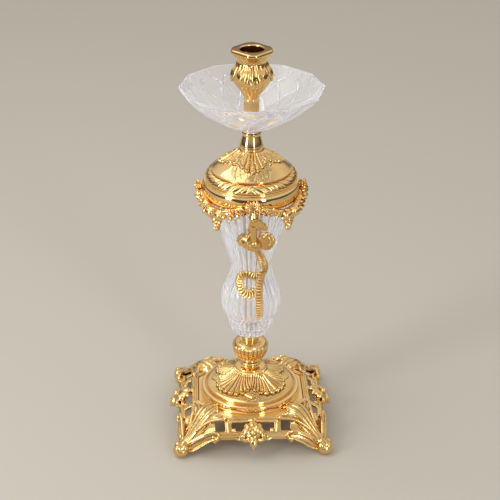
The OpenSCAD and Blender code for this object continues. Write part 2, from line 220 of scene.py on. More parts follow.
class Tree:
    def __init__(self, nodes):
        self.tree = nodes

    def node(self, kind, settings=None, sockets=None):
        made = self.tree.nodes.new(kind)
        for key, value in (settings or {}).items():
            if key == "stops":
                while len(made.color_ramp.elements) < len(value):
                    made.color_ramp.elements.new(0.5)
                for element, (place, colour) in zip(made.color_ramp.elements, value):
                    element.position = place
                    element.color = (*colour, 1)
            else:
                setattr(made, key, value)
        for key, value in (sockets or {}).items():
            if isinstance(value, Link):
                self.tree.links.new(value.socket, made.inputs[key])
            else:
                made.inputs[key].default_value = value
        shown = [s for s in made.outputs if s.enabled]
        return Link(self, shown[0]) if shown else made

    def mix(self, factor, a, b):
        # a mix of two colours
        settings = {"data_type": "RGBA"}
        made = self.node("ShaderNodeMix", settings, {0: factor, 6: a, 7: b})
        return Link(self, made.socket.node.outputs[2])


def colour(red, green, blue):
    return (red, green, blue, 1)


def newMaterial(name):
    material = bpy.data.materials.new(name)
    material.use_nodes = True
    material.node_tree.nodes.clear()
    return material, Tree(material.node_tree)


def metal(name, deep, pale, rough, patina=0.5, scratch=0.02, stipple=0):
    # polished brass: tone drifts over the casting, hollows are painted brown, partly as patina and partly as
    # painted shade, and edges are brighter
    material, tree = newMaterial(name)
    place = tree.node("ShaderNodeTexCoord")["Object"]
    cloud = tree.node("ShaderNodeTexNoise", {}, {"Vector": place, "Scale": 28, "Detail": 3})
    fine = tree.node("ShaderNodeTexNoise", {}, {"Vector": place, "Scale": 900, "Detail": 4})
    under = tree.node("ShaderNodeAttribute", {"attribute_name": "hollow"})["Fac"]
    hollow = under.ramp(0.03, 0.30)
    edge = (under * -1.0).ramp(0.05, 0.35)
    tone = tree.mix(cloud.ramp(0.35, 0.65), colour(*deep), colour(*pale))
    # the brown mixed into hollows is partly patina and partly painted shade
    patinaShadeBrown = colour(deep[0] * 0.42, deep[1] * 0.33, deep[2] * 0.22)
    tone = tree.mix(hollow * patina, tone, patinaShadeBrown)
    bright = colour(min(1, pale[0] * 1.06), min(1, pale[1] * 1.08), min(1, pale[2] * 1.15))
    tone = tree.mix(edge * 0.6, tone, bright)
    roughness = rough + fine * 0.08 + hollow * 0.14 * patina - edge * 0.03
    height = fine
    if stipple:
        cells = tree.node("ShaderNodeTexVoronoi", {}, {"Vector": place, "Scale": stipple})
        height = fine * 0.2 + cells * 1.4
    bump = tree.node("ShaderNodeBump", {}, {"Strength": scratch, "Distance": 0.0004, "Height": height})
    shader = tree.node("ShaderNodeBsdfPrincipled", {}, {
        "Base Color": tone, "Roughness": roughness, "Metallic": 1.0, "Normal": bump})
    tree.node("ShaderNodeOutputMaterial", {}, {"Surface": shader})
    return material


def crystal(name):
    # clear lead crystal mixed with a milky white shader whose emission is a painted glow, with more of it
    # towards grazing angles
    material, tree = newMaterial(name)
    place = tree.node("ShaderNodeTexCoord")["Object"]
    seeds = tree.node("ShaderNodeTexNoise", {}, {"Vector": place, "Scale": 60, "Detail": 3})
    glass = tree.node("ShaderNodeBsdfPrincipled", {}, {
        "Base Color": colour(0.97, 0.98, 1.0), "Roughness": seeds.ramp(0.4, 0.7) * 0.03 + 0.01,
        "IOR": 1.5, "Transmission Weight": 1.0})
    # the milky shader's emission is painted light: a glow that brightens the glass
    milkyGlow = tree.node("ShaderNodeBsdfPrincipled", {}, {
        "Base Color": colour(0.95, 0.96, 1.0), "Roughness": 0.2,
        "Emission Color": colour(0.90, 0.92, 1.0), "Emission Strength": 0.42})
    rim = tree.node("ShaderNodeLayerWeight", {}, {"Blend": 0.35})["Facing"]
    share = rim * 0.18 + seeds.ramp(0.2, 0.9) * 0.05 + 0.06
    body = tree.node("ShaderNodeMixShader", {}, {0: share, 1: glass, 2: milkyGlow})
    tree.node("ShaderNodeOutputMaterial", {}, {"Surface": body})
    return material


def plain(name, base, rough, metallic=0.0, grain=400, amount=0.05):
    material, tree = newMaterial(name)
    place = tree.node("ShaderNodeTexCoord")["Object"]
    fine = tree.node("ShaderNodeTexNoise", {}, {"Vector": place, "Scale": grain, "Detail": 3})
    dark = colour(*[c * 0.8 for c in base])
    shader = tree.node("ShaderNodeBsdfPrincipled", {}, {
        "Base Color": tree.mix(fine.ramp(0.3, 0.7), dark, colour(*base)),
        "Roughness": rough + fine * amount, "Metallic": metallic})
    tree.node("ShaderNodeOutputMaterial", {}, {"Surface": shader})
    return material


polished = metal("polishedBrass", (0.82, 0.54, 0.21), (0.91, 0.65, 0.31), 0.05, patina=0.3)
cast = metal("castBrass", (0.76, 0.48, 0.17), (0.90, 0.63, 0.28), 0.11, patina=1.0)
stippled = metal("stippledBrass", (0.66, 0.41, 0.14), (0.84, 0.58, 0.25), 0.20, patina=1.0,
                 scratch=0.25, stipple=520)
dull = metal("dullBrass", (0.48, 0.30, 0.11), (0.60, 0.40, 0.16), 0.25, patina=0.3)
zinc = plain("zincSteel", (0.60, 0.60, 0.62), 0.30, 1.0)
rubber = plain("gasketRubber", (0.05, 0.045, 0.04), 0.7)
cutGlass = crystal("cutCrystal")
print("materials ready")


def keepCast(piece, node, body="stand"):
    keep(piece, cast, "cast_brass", body, node)


# stage, light and camera

stageSet = {
    "floor": (0.60, 0.565, 0.505), "front": 0.8, "nearWidth": 0.85, "back": 9.0, "farWidth": 5.0,
    "lens": 102.35, "distance": 1.4007, "height": 0.1926, "down": 26.48, "round": -2.61,
    "roll": 0.30, "shift": -0.0018,
    # softboxes: azimuth and distance from the front, height of the middle, width, height, power
    "softboxes": [(-52, 1.5, 0.75, 0.36, 1.5, 13), (28, 1.5, 0.75, 0.20, 1.5, 6)],
    "overhead": (-0.7, 1.7, 1.3, 8),
    # the room from below the table to the ceiling: height of the view, and brightness
    "room": [(0.0, (0.05, 0.04, 0.03)), (0.49, (0.10, 0.085, 0.07)), (0.56, (0.30, 0.27, 0.23)),
             (0.66, (0.74, 0.71, 0.66)), (0.82, (0.88, 0.85, 0.79)), (1.0, (0.50, 0.47, 0.42))],
    "roomStrength": 0.95}


def areaLight(name, place, target, width, height, power):
    data = bpy.data.lights.new(name, "AREA")
    data.shape = "RECTANGLE"
    data.size = width
    data.size_y = height
    data.energy = power
    light = bpy.data.objects.new(name, data)
    bpy.context.scene.collection.objects.link(light)
    light.location = place
    light.rotation_euler = (Vector(target) - Vector(place)).to_track_quat("-Z", "Y").to_euler()
    light.visible_camera = False


def makeStage(s):
    near, far = s["nearWidth"] / mm, s["farWidth"] / mm
    front, back = -s["front"] / mm, s["back"] / mm
    floor = build("floor", [(-near, front, 0), (near, front, 0), (far, back, 0), (-far, back, 0)],
                  [(0, 1, 2, 3)], merge=False)
    floor.data.materials.append(plain("paperFloor", s["floor"], 0.75, grain=2500, amount=0.02))
    for i, (azimuth, away, middle, width, height, power) in enumerate(s["softboxes"]):
        a = math.radians(azimuth + s["round"])
        place = (away * math.sin(a), -away * math.cos(a), middle)
        areaLight("softbox%d" % i, place, (0, 0, middle), width, height, power)
    left, high, size, power = s["overhead"]
    areaLight("overhead", (left, 0.1, high), (0, 0, 0), size, size, power)
    world = bpy.data.worlds.new("studio")
    world.use_nodes = True
    bpy.context.scene.world = world
    world.node_tree.nodes.clear()
    tree = Tree(world.node_tree)
    way = tree.node("ShaderNodeTexCoord")["Generated"]
    high = tree.node("ShaderNodeSeparateXYZ", {}, {0: way})["Z"] * 0.5 + 0.5
    ramp = tree.node("ShaderNodeValToRGB", {"stops": s["room"]}, {0: high})
    shine = tree.node("ShaderNodeBackground", {}, {"Color": ramp, "Strength": s["roomStrength"]})
    tree.node("ShaderNodeOutputWorld", {}, {"Surface": shine})


def makeCamera(s):
    a, e = math.radians(s["round"]), math.radians(s["down"])
    back = Vector((math.sin(a) * math.cos(e), -math.cos(a) * math.cos(e), math.sin(e)))
    data = bpy.data.cameras.new("camera")
    data.lens = s["lens"]
    data.sensor_width = 36
    data.shift_x = s["shift"]
    data.clip_start = 0.05
    data.clip_end = 60
    camera = bpy.data.objects.new("camera", data)
    bpy.context.scene.collection.objects.link(camera)
    turned = (-back).to_track_quat("-Z", "Y").to_matrix().to_4x4()
    camera.matrix_world = (Matrix.Translation(Vector((0, 0, s["height"])) + back * s["distance"])
                           @ turned @ Matrix.Rotation(math.radians(s["roll"]), 4, "Z"))
    bpy.context.scene.camera = camera


makeStage(stageSet)
makeCamera(stageSet)
bpy.context.scene.view_settings.view_transform = "Standard"
print("stage ready")

# turned pieces

turnedSet = {
    "footRing": ("foot_ring", "stand", [
        (37.5, 0, 0), (50.8, 0, 0.3), (50.8, 1.7, 0.8), (49.9, 1.9, 0.2), (50, 7.5, 3.0), (46.5, 7.5, 0.3),
        (46.2, 6.5, 0.2), (45.2, 6.5, 0.2), (45, 7.5, 0.2), (37.5, 7.5, 0)]),
    "footCollar": ("foot_collar", "stand", [
        (4.2, 0, 0), (15.3, 0, 0.4), (15.3, 1.8, 0.8), (12.8, 2.6, 2.0), (10.2, 3.4, 1.2), (9.4, 4.2, 0.3),
        (10.3, 4.3, 1.6), (10.3, 7.5, 1.6), (8.6, 7.6, 0.3), (7.4, 8.6, 1.0), (7.3, 10, 0.1), (4.2, 10, 0)]),
    "vaseSeat": ("vase_seat", "stand", [
        (4.2, 0, 0), (9.0, 0, 0.6), (9.0, 1.5, 0.7), (8.2, 1.7, 0.1), (9.3, 1.9, 0.7), (9.3, 3.4, 0.7),
        (8.4, 3.6, 0.1), (9.6, 3.8, 0.7), (9.6, 5.5, 0.5), (4.2, 5.5, 0)]),
    "cupStem": ("cup_stem", "candle_cup", [
        (4.2, 0, 0), (7.3, 0, 0.2), (7.3, 30.55, 0.2), (7.6, 30.85, 0.4), (7.6, 33.15, 0.5), (6.7, 33.95, 0.1),
        (4.2, 33.95, 0)])}
bowlSet = {
    "lip": [(43.8, -9, 0), (44.9, -9, 0.1)],
    "outside": [(45.0, -8.9), (46.2, -5.5), (47.2, -1), (47.3, 1.5), (46.8, 4.6), (45.3, 6.6)],
    "inside": [(45.2, 6.7, 0.1), (46.0, 6.8, 0.4), (46.0, 8, 0.4), (35, 8, 0), (35, 4, 0), (38, 0, 0),
               (43.8, 0, 0)], "underBand": 8}
domeSet = {
    "edge": [(38.7, 0, 0), (38.7, 0.9, 0.5), (37.4, 1.5, 0.4)],
    "outside": [(37.4, 1.5), (31, 6.2), (21, 12.4), (12, 18.5)],
    "inside": [(4.2, 18.5), (4.2, 15.5), (10, 15.5), (20, 10.6), (30, 4.6), (35.5, 0.8), (36, 0)]}
neckSet = {
    "foot": [(8.0, 0, 0), (11.4, 0, 0.5), (11.4, 3.2, 1.1), (10.3, 3.9, 0.2), (10.4, 4.3, 0.2),
             (11.3, 4.8, 0.6), (11.2, 6.4, 0.8)],
    "waist": [(10.9, 7.2), (10.2, 10), (9.3, 13), (8.5, 15.6)],
    "top": [(8.5, 16.0, 0.1), (9.4, 16.2, 0.5), (9.4, 19, 0.6), (4.2, 19, 0), (4.2, 6.6, 0), (8.0, 6.6, 0)]}


def polishedTurn(name, outline, level, around, node, body="stand"):
    keep(turn(name, outline + [0, level], around), polished, "polished_brass", body, node)


for name, (node, body, corners) in turnedSet.items():
    polishedTurn(name, rounded(corners), low(node), 192, node, body)
bowlOutline = np.vstack([rounded(bowlSet["lip"]), spline(bowlSet["outside"], 8), rounded(bowlSet["inside"])])
polishedTurn("capBowl", bowlOutline, low("leaf_band") - bowlSet["underBand"], 256, "cap_bowl")
domeLevel = low("cap_dome")
domeOutline = np.vstack([rounded(domeSet["edge"]), spline(domeSet["outside"], 14), domeSet["inside"]])
polishedTurn("capDome", domeOutline, domeLevel, 256, "cap_dome")
neckOutline = np.vstack([rounded(neckSet["foot"]), spline(neckSet["waist"], 6), rounded(neckSet["top"])])
polishedTurn("neckSpool", neckOutline, low("neck_spool"), 192, "neck_spool")
print("turned pieces ready")


# leaves in relief on turned pieces

def foliage(theta, run, count, offset, s):
    # a ring of leaves: run is the distance in millimetres from their roots
    q = 2 * ((theta * count / tau + offset) % 1) - 1
    splay = s["splay"] - (s["splay"] - 1) * smooth(run, 0, s["reach"])
    comb = np.abs(np.cos(np.pi / 2 * s["ribs"] * q * splay)) ** 0.55
    tipComb = np.abs(np.cos(np.pi / 2 * s["ribs"] * q)) ** 0.8
    end = s["reach"] - s["drop"] * np.abs(q) ** s["round"] - s["lobe"] * (1 - tipComb)
    body = 1 - smooth(run, end - 0.3, end + 0.5)
    height = s["rise"] * (0.45 + 0.55 * smooth(run, 0, s["reach"])) + s["groove"] * (comb - 1)
    height = height + s["curl"] * smooth(run, end - 3.5, end - 0.6)
    height = height - s["pit"] * (1 - tipComb) ** 2 * smooth(run, end - 4.5, end - 2)
    height = height + s["midrib"] * np.exp(-(q / 0.06) ** 2) * (1 - 0.5 * smooth(run, 0, s["reach"]))
    return body * np.maximum(height, 0.15)


footLeaves = {"ribs": 9, "reach": 31.0, "drop": 13.0, "round": 2.4, "lobe": 3.0, "rise": 2.0, "groove": 1.5,
              "curl": 1.0, "pit": 1.2, "midrib": 1.0, "splay": 1.7}
footPoints = {"ribs": 3, "reach": 30.5, "drop": 12.0, "round": 0.8, "lobe": 1.0, "rise": 0.7, "groove": 0.5,
              "curl": 0.2, "pit": 0.0, "midrib": 0.4, "splay": 1.2}
footSet = {
    "skin": [(43.0, 3.8), (41.5, 4.3), (36, 5.8), (28.5, 8.8), (21.5, 12.6), (17, 16.2), (15.4, 19.5)],
    "back": [(15.0, 19.5, 0), (4.2, 19.5, 0), (4.2, 16.5, 0), (13, 16.5, 0), (14.5, 12.5, 0), (19, 8.4, 0),
             (26, 5, 0), (37, 2, 0), (37, 0, 0), (45.1, 0, 0.3), (45.1, 2.7, 1.1), (43.3, 3.7, 0.3)],
    "long": 34.5}
footSkin = spaced(spline(footSet["skin"], 10), 0.38)


def footRelief(theta, s, r, z):
    run = (1 - s) * footSet["long"]
    big = foliage(theta, run, 4, 0.0, footLeaves)
    small = foliage(theta, run, 4, 0.5, footPoints)
    return np.maximum(big, small) * smooth(run, -0.5, 1.5)


footDome = reliefTurn("footDome", footSkin, rounded(footSet["back"]), low("foot_dome"), 560, footRelief)
keepCast(footDome, "foot_dome")

knopSet = {"gadroons": 24, "bulge": 1.4, "top": 18.2,
           "skin": [(7.6, 0), (8, 1), (12, 2.6), (15.6, 7), (17.2, 11.5), (17.6, 15.5), (17.2, 18), (15, 21),
                    (9.8, 22.7)], "bore": [(8.4, 23.5), (4.2, 23.5), (4.2, 0)]}
knopSkin = spaced(spline(knopSet["skin"], 10), 0.4)
knopLevel = low("knop")


def knopRelief(theta, s, r, z):
    comb = np.abs(np.cos(theta * knopSet["gadroons"] / 2)) ** 0.5
    top = knopSet["top"] - 1.8 * (1 - comb)
    level = z - knopLevel
    bulge = knopSet["bulge"] * (comb - 0.55)
    return bulge * smooth(level, 1.2, 4.5) * (1 - smooth(level, top - 0.9, top + 0.5))


keepCast(reliefTurn("gadroonKnop", knopSkin, knopSet["bore"], knopLevel, 480, knopRelief), "knop")

calyxLong = {"ribs": 7, "reach": 23.0, "drop": 13.5, "round": 1.3, "lobe": 2.2, "rise": 2.0, "groove": 1.2,
             "curl": 0.6, "pit": 0.5, "midrib": 0.9, "splay": 1.15}
calyxShort = {"ribs": 5, "reach": 16.0, "drop": 6.5, "round": 1.8, "lobe": 2.0, "rise": 1.2, "groove": 1.0,
              "curl": 0.5, "pit": 0.4, "midrib": 0.6, "splay": 1.1}
calyxSet = {"skin": [(34.5, 3.6), (31, 6.2), (21, 12.4), (14, 17.2), (11.6, 19.6)], "sunk": 0.35, "thick": 0.8,
            "relief": 1.1, "long": 27.2}
calyxSkin = spaced(spline(calyxSet["skin"], 14), 0.36) - [0, calyxSet["sunk"]]


def calyxRelief(theta, s, r, z):
    run = (1 - s) * calyxSet["long"]
    four = foliage(theta, run, 4, 0.5, calyxLong)
    return np.maximum(four, foliage(theta, run, 4, 0.0, calyxShort)) * calyxSet["relief"]


calyxBack = calyxSkin[::-1] - [0, calyxSet["thick"]]
keepCast(reliefTurn("leafCalyx", calyxSkin, calyxBack, domeLevel, 512, calyxRelief), "leaf_calyx")
print("relief pieces ready")


# candle cup

cupLeaf = {"ribs": 5, "reach": 21.0, "drop": 13.0, "round": 1.3, "lobe": 1.5, "rise": 1.4, "groove": 1.3,
           "curl": 0.4, "pit": 0.3, "midrib": 1.1, "splay": 1.0}
cupSet = {
    "bell": [(7.6, 1), (9.2, 4), (13, 10), (17.0, 15.5), (18.2, 21.5), (17.2, 27), (14.6, 31.5), (13.8, 34.5),
             (14.0, 37), (16.2, 41), (18.6, 43.8)],
    "rim": [(19.0, 44.2, 0), (19.4, 44.8, 0.4), (19.4, 46.4, 0.8), (18.0, 48, 0.6)],
    "bore": [(12.1, 48, 0.3), (11.3, 46.8, 0.4), (11.25, 24, 0), (0, 24, 0), (0, 9, 0), (4.1, 9, 0),
             (4.1, 0, 0), (7.3, 0, 0)],
    "gadroons": 16, "gadroonDepth": 0.8, "leafTop": 37.5, "flat": 16.6, "corner": 19.3, "crisp": 3.0}
cupLevel = low("candle_cup")
cupSkin = spaced(np.vstack([spline(cupSet["bell"], 10), rounded(cupSet["rim"])]), 0.35)


def cupRelief(theta, s, r, z):
    level = z - cupLevel
    leaf = foliage(theta, cupSet["leafTop"] - level, 4, 0.5, cupLeaf)
    comb = np.abs(np.cos(theta * cupSet["gadroons"] / 2)) ** 0.6
    gadroon = cupSet["gadroonDepth"] * (comb - 1) * smooth(level, 3.5, 8) * (1 - smooth(level, 22, 26))
    return leaf * (1 - smooth(level, 33, 37.2)) + gadroon


def cupPlan(theta, r, z):
    # the flared rim is a square with round corners, set with its corners on the axes
    level = z - cupLevel
    crisp = cupSet["crisp"]
    off = (theta - tau / 8) % (tau / 4)
    off = np.minimum(off, tau / 4 - off)
    flat = cupSet["flat"] / np.cos(off)
    limit = -np.log(np.exp(-crisp * flat) + math.exp(-crisp * cupSet["corner"])) / crisp
    share = smooth(level, 38.5, 44.0) * (r > 12.6)
    return r * (1 + (limit / 19.0 - 1) * share)


cup = reliefTurn("candleCup", cupSkin, rounded(cupSet["bore"]), cupLevel, 512, cupRelief, 45, cupPlan)
keepCast(cup, "candle_cup", "candle_cup")
print("candle cup ready")


# drip dish

dishSet = {
    "sides": 12, "lines": 12, "sweep": 62, "depth": 2.1, "fringe": 72, "fringeDepth": 0.5,
    "under": [(9.2, 1.2), (12, 3.4), (20, 6.2), (35, 14.4), (50, 24.6), (60, 33.4), (67.6, 41.4), (69.0, 43.0)],
    "rim": [(69.0, 43.2, 0), (68.7, 44, 0.3), (66.9, 44, 0.3)],
    "inside": [(66.6, 43.8), (60, 37.6), (50, 29.4), (35, 19.4), (20, 11.4), (10, 8)],
    "hole": [(8.6, 7.7), (7.9, 7.2), (7.9, 0.4), (8.3, 0), (8.9, 0)]}
dishUnder = spaced(spline(dishSet["under"], 10), 0.85)
dishInside = spaced(spline(dishSet["inside"], 10), 1.7)


def dishRelief(theta, s, r, z):
    cut = np.zeros(np.broadcast(theta, s).shape)
    for way in (-1, 1):
        phase = (theta + way * math.radians(dishSet["sweep"]) * s) * dishSet["lines"] / tau
        away = np.abs(phase % 1 - 0.5) * tau / dishSet["lines"] * r * 0.72
        cut = np.maximum(cut, np.maximum(0, 1 - away / (1.0 + 1.4 * s)))
    band = smooth(s, 0.10, 0.16) * (1 - smooth(s, 0.84, 0.90))
    comb = np.abs((theta * dishSet["fringe"] / tau) % 1 - 0.5) * 2
    fringe = dishSet["fringeDepth"] * np.maximum(0, 1 - comb / 0.5)
    fringe = fringe * smooth(s, 0.88, 0.92) * (1 - smooth(s, 0.97, 0.99))
    return -dishSet["depth"] * cut * band - fringe


def dishPlan(theta, r, z):
    side = tau / dishSet["sides"]
    off = theta % side - side / 2
    return r * (1 + (math.cos(side / 2) / np.cos(off) - 1) * smooth(r, 20, 58))


dishRest = np.vstack([rounded(dishSet["rim"]), dishInside, dishSet["hole"]])
dish = reliefTurn("dripDish", dishUnder, dishRest, low("drip_dish"), 480, dishRelief, 30, dishPlan)
keep(dish, cutGlass, "cut_crystal", "drip_dish", "drip_dish")
print("drip dish ready")


# vase, whose flutes a node tree cuts

vaseCurve = [(12, 0), (17.5, 3), (20.8, 7), (23.2, 17), (22.6, 22), (27.9, 28.5), (29.6, 40), (27.8, 52),
             (23.2, 62), (20.8, 74), (21, 82), (25.5, 99.5), (31.4, 119), (42.6, 153), (43.4, 162)]
vaseFine = spline(vaseCurve, 12)
vaseLow = low("vase")


def vaseRadius(z):
    return np.interp(np.asarray(z, float) - vaseLow, vaseFine[:, 1], vaseFine[:, 0])


def groupTree(name, sockets):
    # a geometry group with named inputs after its geometry
    group = bpy.data.node_groups.new(name, "GeometryNodeTree")
    group.interface.new_socket("Geometry", in_out="INPUT", socket_type="NodeSocketGeometry")
    group.interface.new_socket("Geometry", in_out="OUTPUT", socket_type="NodeSocketGeometry")
    for label, kind in sockets:
        group.interface.new_socket(label, in_out="INPUT", socket_type="NodeSocket" + kind)
    tree = Tree(group)
    entry = group.nodes.new("NodeGroupInput")
    leave = group.nodes.new("NodeGroupOutput")
    return group, tree, {s.name: Link(tree, s) for s in entry.outputs if s.name}, leave


def finishTree(tree, given, geometry, leave):
    whole = tree.node("GeometryNodeRealizeInstances", {}, {"Geometry": geometry})
    shown = tree.node("GeometryNodeSetMaterial", {}, {"Geometry": whole, "Material": given["Material"]})
    tree.tree.links.new(shown.socket, leave.inputs[0])


def runTree(piece, group, values, sharp=40):
    # the group's result becomes the piece's own mesh
    modifier = piece.modifiers.new("nodes", "NODES")
    modifier.node_group = group
    named = {item.name: item.identifier for item in group.interface.items_tree if item.in_out == "INPUT"}
    for label, value in values.items():
        modifier[named[label]] = value
    graph = bpy.context.evaluated_depsgraph_get()
    result = bpy.data.meshes.new_from_object(piece.evaluated_get(graph))
    piece.modifiers.remove(modifier)
    piece.data = result
    finishShade(result, sharp)


def fluteTree():
    group, tree, given, leave = groupTree("flutes", [("Flutes", "Int"), ("Depth", "Float"), ("Fine", "Int"),
                                                     ("Fine Depth", "Float"), ("Material", "Material")])
    place = tree.node("GeometryNodeInputPosition")
    parts = tree.node("ShaderNodeSeparateXYZ", {}, {0: place})
    angle = parts["Y"].maths("ARCTAN2", parts["Y"], parts["X"])
    share = tree.node("GeometryNodeInputNamedAttribute", {"data_type": "FLOAT"}, {"Name": "flute"})
    broad = angle.maths("COSINE", angle * given["Flutes"] * 0.5)
    broad = broad.maths("ABSOLUTE", broad)
    fine = angle.maths("COSINE", angle * given["Fine"])
    inward = (broad * given["Depth"] + (fine * 0.5 + 0.5) * given["Fine Depth"]) * share
    way = tree.node("ShaderNodeCombineXYZ", {}, {
        "X": angle.maths("COSINE", angle), "Y": angle.maths("SINE", angle)})
    offset = tree.node("ShaderNodeVectorMath", {"operation": "SCALE"}, {0: way, "Scale": inward * -1.0})
    moved = tree.node("GeometryNodeSetPosition", {}, {"Geometry": given["Geometry"], "Offset": offset})
    finishTree(tree, given, moved, leave)
    return group


vaseSet = {"Flutes": 24, "Depth": 1.6 * mm, "Fine": 72, "Fine Depth": 0.22 * mm, "Material": cutGlass}
glassWall, boreFloor = 4.5, 11
vaseSkin = spaced(vaseFine, 1.65)
vaseBore = spaced([(q[0] - glassWall, q[1]) for q in vaseFine if q[1] > boreFloor], 3.2)[::-1]
vaseOutline = np.vstack([vaseSkin, vaseBore, [(vaseBore[-1][0] - 4, 9), (5.9, 9), (5.9, 0)]])
vase = turn("fluteVase", vaseOutline + [0, vaseLow], 576, sharp=30)
level = np.array([v.co.z / mm - vaseLow for v in vase.data.vertices])
radius = np.array([math.hypot(v.co.x, v.co.y) / mm for v in vase.data.vertices])
outer = radius > vaseRadius(level + vaseLow) - 0.3
share = smooth(level, 0.5, 4) * (1 - smooth(level, 156, 160))
share = share * (1 - 0.85 * np.exp(-((level - 21.5) / 2.0) ** 2))  # the flutes fade at the pinched waist
flute = vase.data.attributes.new("flute", "FLOAT", "POINT")
flute.data.foreach_set("value", (share * outer).astype(np.float32))
runTree(vase, fluteTree(), vaseSet, 30)
keep(vase, cutGlass, "cut_crystal", "stand", "vase")
print("vase ready")


# solids that castings are put together from

def frameAlong(p, up):
    along = np.gradient(p, axis=0)
    along /= np.linalg.norm(along, axis=1)[:, None] + 1e-9
    side = np.cross(along, np.broadcast_to(np.array(up, float), p.shape))
    side /= np.linalg.norm(side, axis=1)[:, None] + 1e-9
    return side, np.cross(side, along)


def capped(rows, cols):
    faces = gridFaces(rows, cols, False, True).tolist()
    return faces + [list(range(cols)), list(range((rows - 1) * cols, rows * cols))]


def blade(path, wide, thick, up, camber=0.0, ribs=0, groove=0.5, lobes=0, lobe=0.0, cols=15, step=0.9):
    # a leaf: a plate with ribs and lobed edges, swept along a path; wide is its half width
    p = spaced(spline(path, 8), step)
    t = np.linspace(0, 1, len(p))
    side, out = frameAlong(p, up)
    w = np.interp(t, np.linspace(0, 1, len(wide)), wide)
    if lobes:
        w = w * (1 - lobe * (1 - np.abs(np.sin(np.pi * lobes * t)) ** 0.7))
    x = np.linspace(-1, 1, cols)
    h = camber * w[:, None] * (1 - x ** 2)[None, :]
    ridge = groove * np.abs(np.cos(np.pi / 2 * ribs * x)) ** 0.6 if ribs else 0 * x
    across = p[:, None] + side[:, None] * (w[:, None] * x[None, :])[..., None]
    top = across + out[:, None] * (h + ridge[None, :])[..., None]
    bottom = across + out[:, None] * (h - thick)[..., None]
    grid = np.concatenate([top, bottom[:, ::-1]], axis=1)
    return grid.reshape(-1, 3), capped(len(p), 2 * cols)


def rope(path, radii, sides=14, step=0.8, twist=0, ridge=0.0, strands=0):
    p = spaced(spline(path, 8), step)
    t = np.linspace(0, 1, len(p))
    side, out = frameAlong(p, (0.02, 0.03, 1))
    r = np.interp(t, np.linspace(0, 1, len(radii)), radii)
    b = np.arange(sides) * tau / sides
    r = r[:, None] + ridge * np.abs(np.cos(strands / 2 * b[None, :] + twist * t[:, None])) * (r > 0.7)[:, None]
    grid = p[:, None] + side[:, None] * (r * np.cos(b))[..., None] + out[:, None] * (r * np.sin(b))[..., None]
    return grid.reshape(-1, 3), capped(len(p), sides)


def ball(place, size, steps=14):
    a = np.linspace(0.02, np.pi - 0.02, steps)
    b = np.arange(2 * steps) * tau / (2 * steps)
    grid = np.stack([np.outer(np.sin(a), np.cos(b)), np.outer(np.sin(a), np.sin(b)),
                     np.repeat(np.cos(a)[:, None], 2 * steps, 1)], axis=-1)
    return (grid * np.array(size) + np.array(place)).reshape(-1, 3), capped(steps, 2 * steps)


def bar(profile, x0, x1):
    # a profile of (outward, height) carried along a side
    count = len(profile)
    points = [(x, o, z) for x in (x0, x1) for o, z in profile]
    return np.array(points, float), capped(2, count)


def mirrored(parts):
    return [(p * [-1, 1, 1], f) for p, f in parts]


def joined(parts, place=None):
    points, faces, count = [], [], 0
    for p, f in parts:
        points.append(p if place is None else place(p))
        faces += [[i + count for i in face] for face in f]
        count += len(p)
    return np.vstack(points), faces


def spun(p, degrees):
    a = math.radians(degrees)
    return np.stack([p[:, 0] * math.cos(a) - p[:, 1] * math.sin(a),
                     p[:, 0] * math.sin(a) + p[:, 1] * math.cos(a), p[:, 2]], axis=1)


def fused(name, parts, place, grain, softness):
    # overlapping solids made into one skin, as in a casting
    piece = build(name, *joined(parts, place))
    remesh = piece.modifiers.new("fuse", "REMESH")
    remesh.mode = "VOXEL"
    remesh.voxel_size = grain * mm
    soft = piece.modifiers.new("soften", "SMOOTH")
    soft.iterations = softness
    soft.factor = 0.5
    result = bpy.data.meshes.new_from_object(piece.evaluated_get(bpy.context.evaluated_depsgraph_get()))
    piece.modifiers.clear()
    piece.data = result
    finishShade(result, 60)
    return piece


def camel(node):
    first, *rest = node.split("_")
    return first + "".join(word.capitalize() for word in rest)


def copies(piece, count, degrees):
    # the piece and its turned copies, as finished meshes
    made = [piece]
    for i in range(1, count):
        mesh = piece.data.copy()
        mesh.transform(Matrix.Rotation(math.radians(degrees * i), 4, "Z"))
        other = bpy.data.objects.new("%s%d" % (piece.name, i + 1), mesh)
        bpy.context.scene.collection.objects.link(other)
        made.append(other)
    return made


# base: platform, four legs and four openwork sides

platformCorners = [(4.2, 29.5, 0), (57.4, 29.5, 0.4), (58.2, 30.4, 0.3), (58.2, 33.4, 0.6), (57.4, 34.3, 0.5),
                   (56.2, 34.3, 0.4), (55.8, 33.5, 0.2), (55.2, 33.5, 0.2), (54.8, 34.0, 0.3),
                   (53.9, 34.0, 0.4), (53.3, 33.0, 0.5), (4.2, 33, 0)]


def octagonPlan(theta, r, z):
    off = (theta + tau / 16) % (tau / 8) - tau / 16
    return r * (1 + (1 / np.cos(off) - 1) * (r > 20))


keepCast(turn("platform", rounded(platformCorners), 256, sharp=28, plan=octagonPlan), "base")

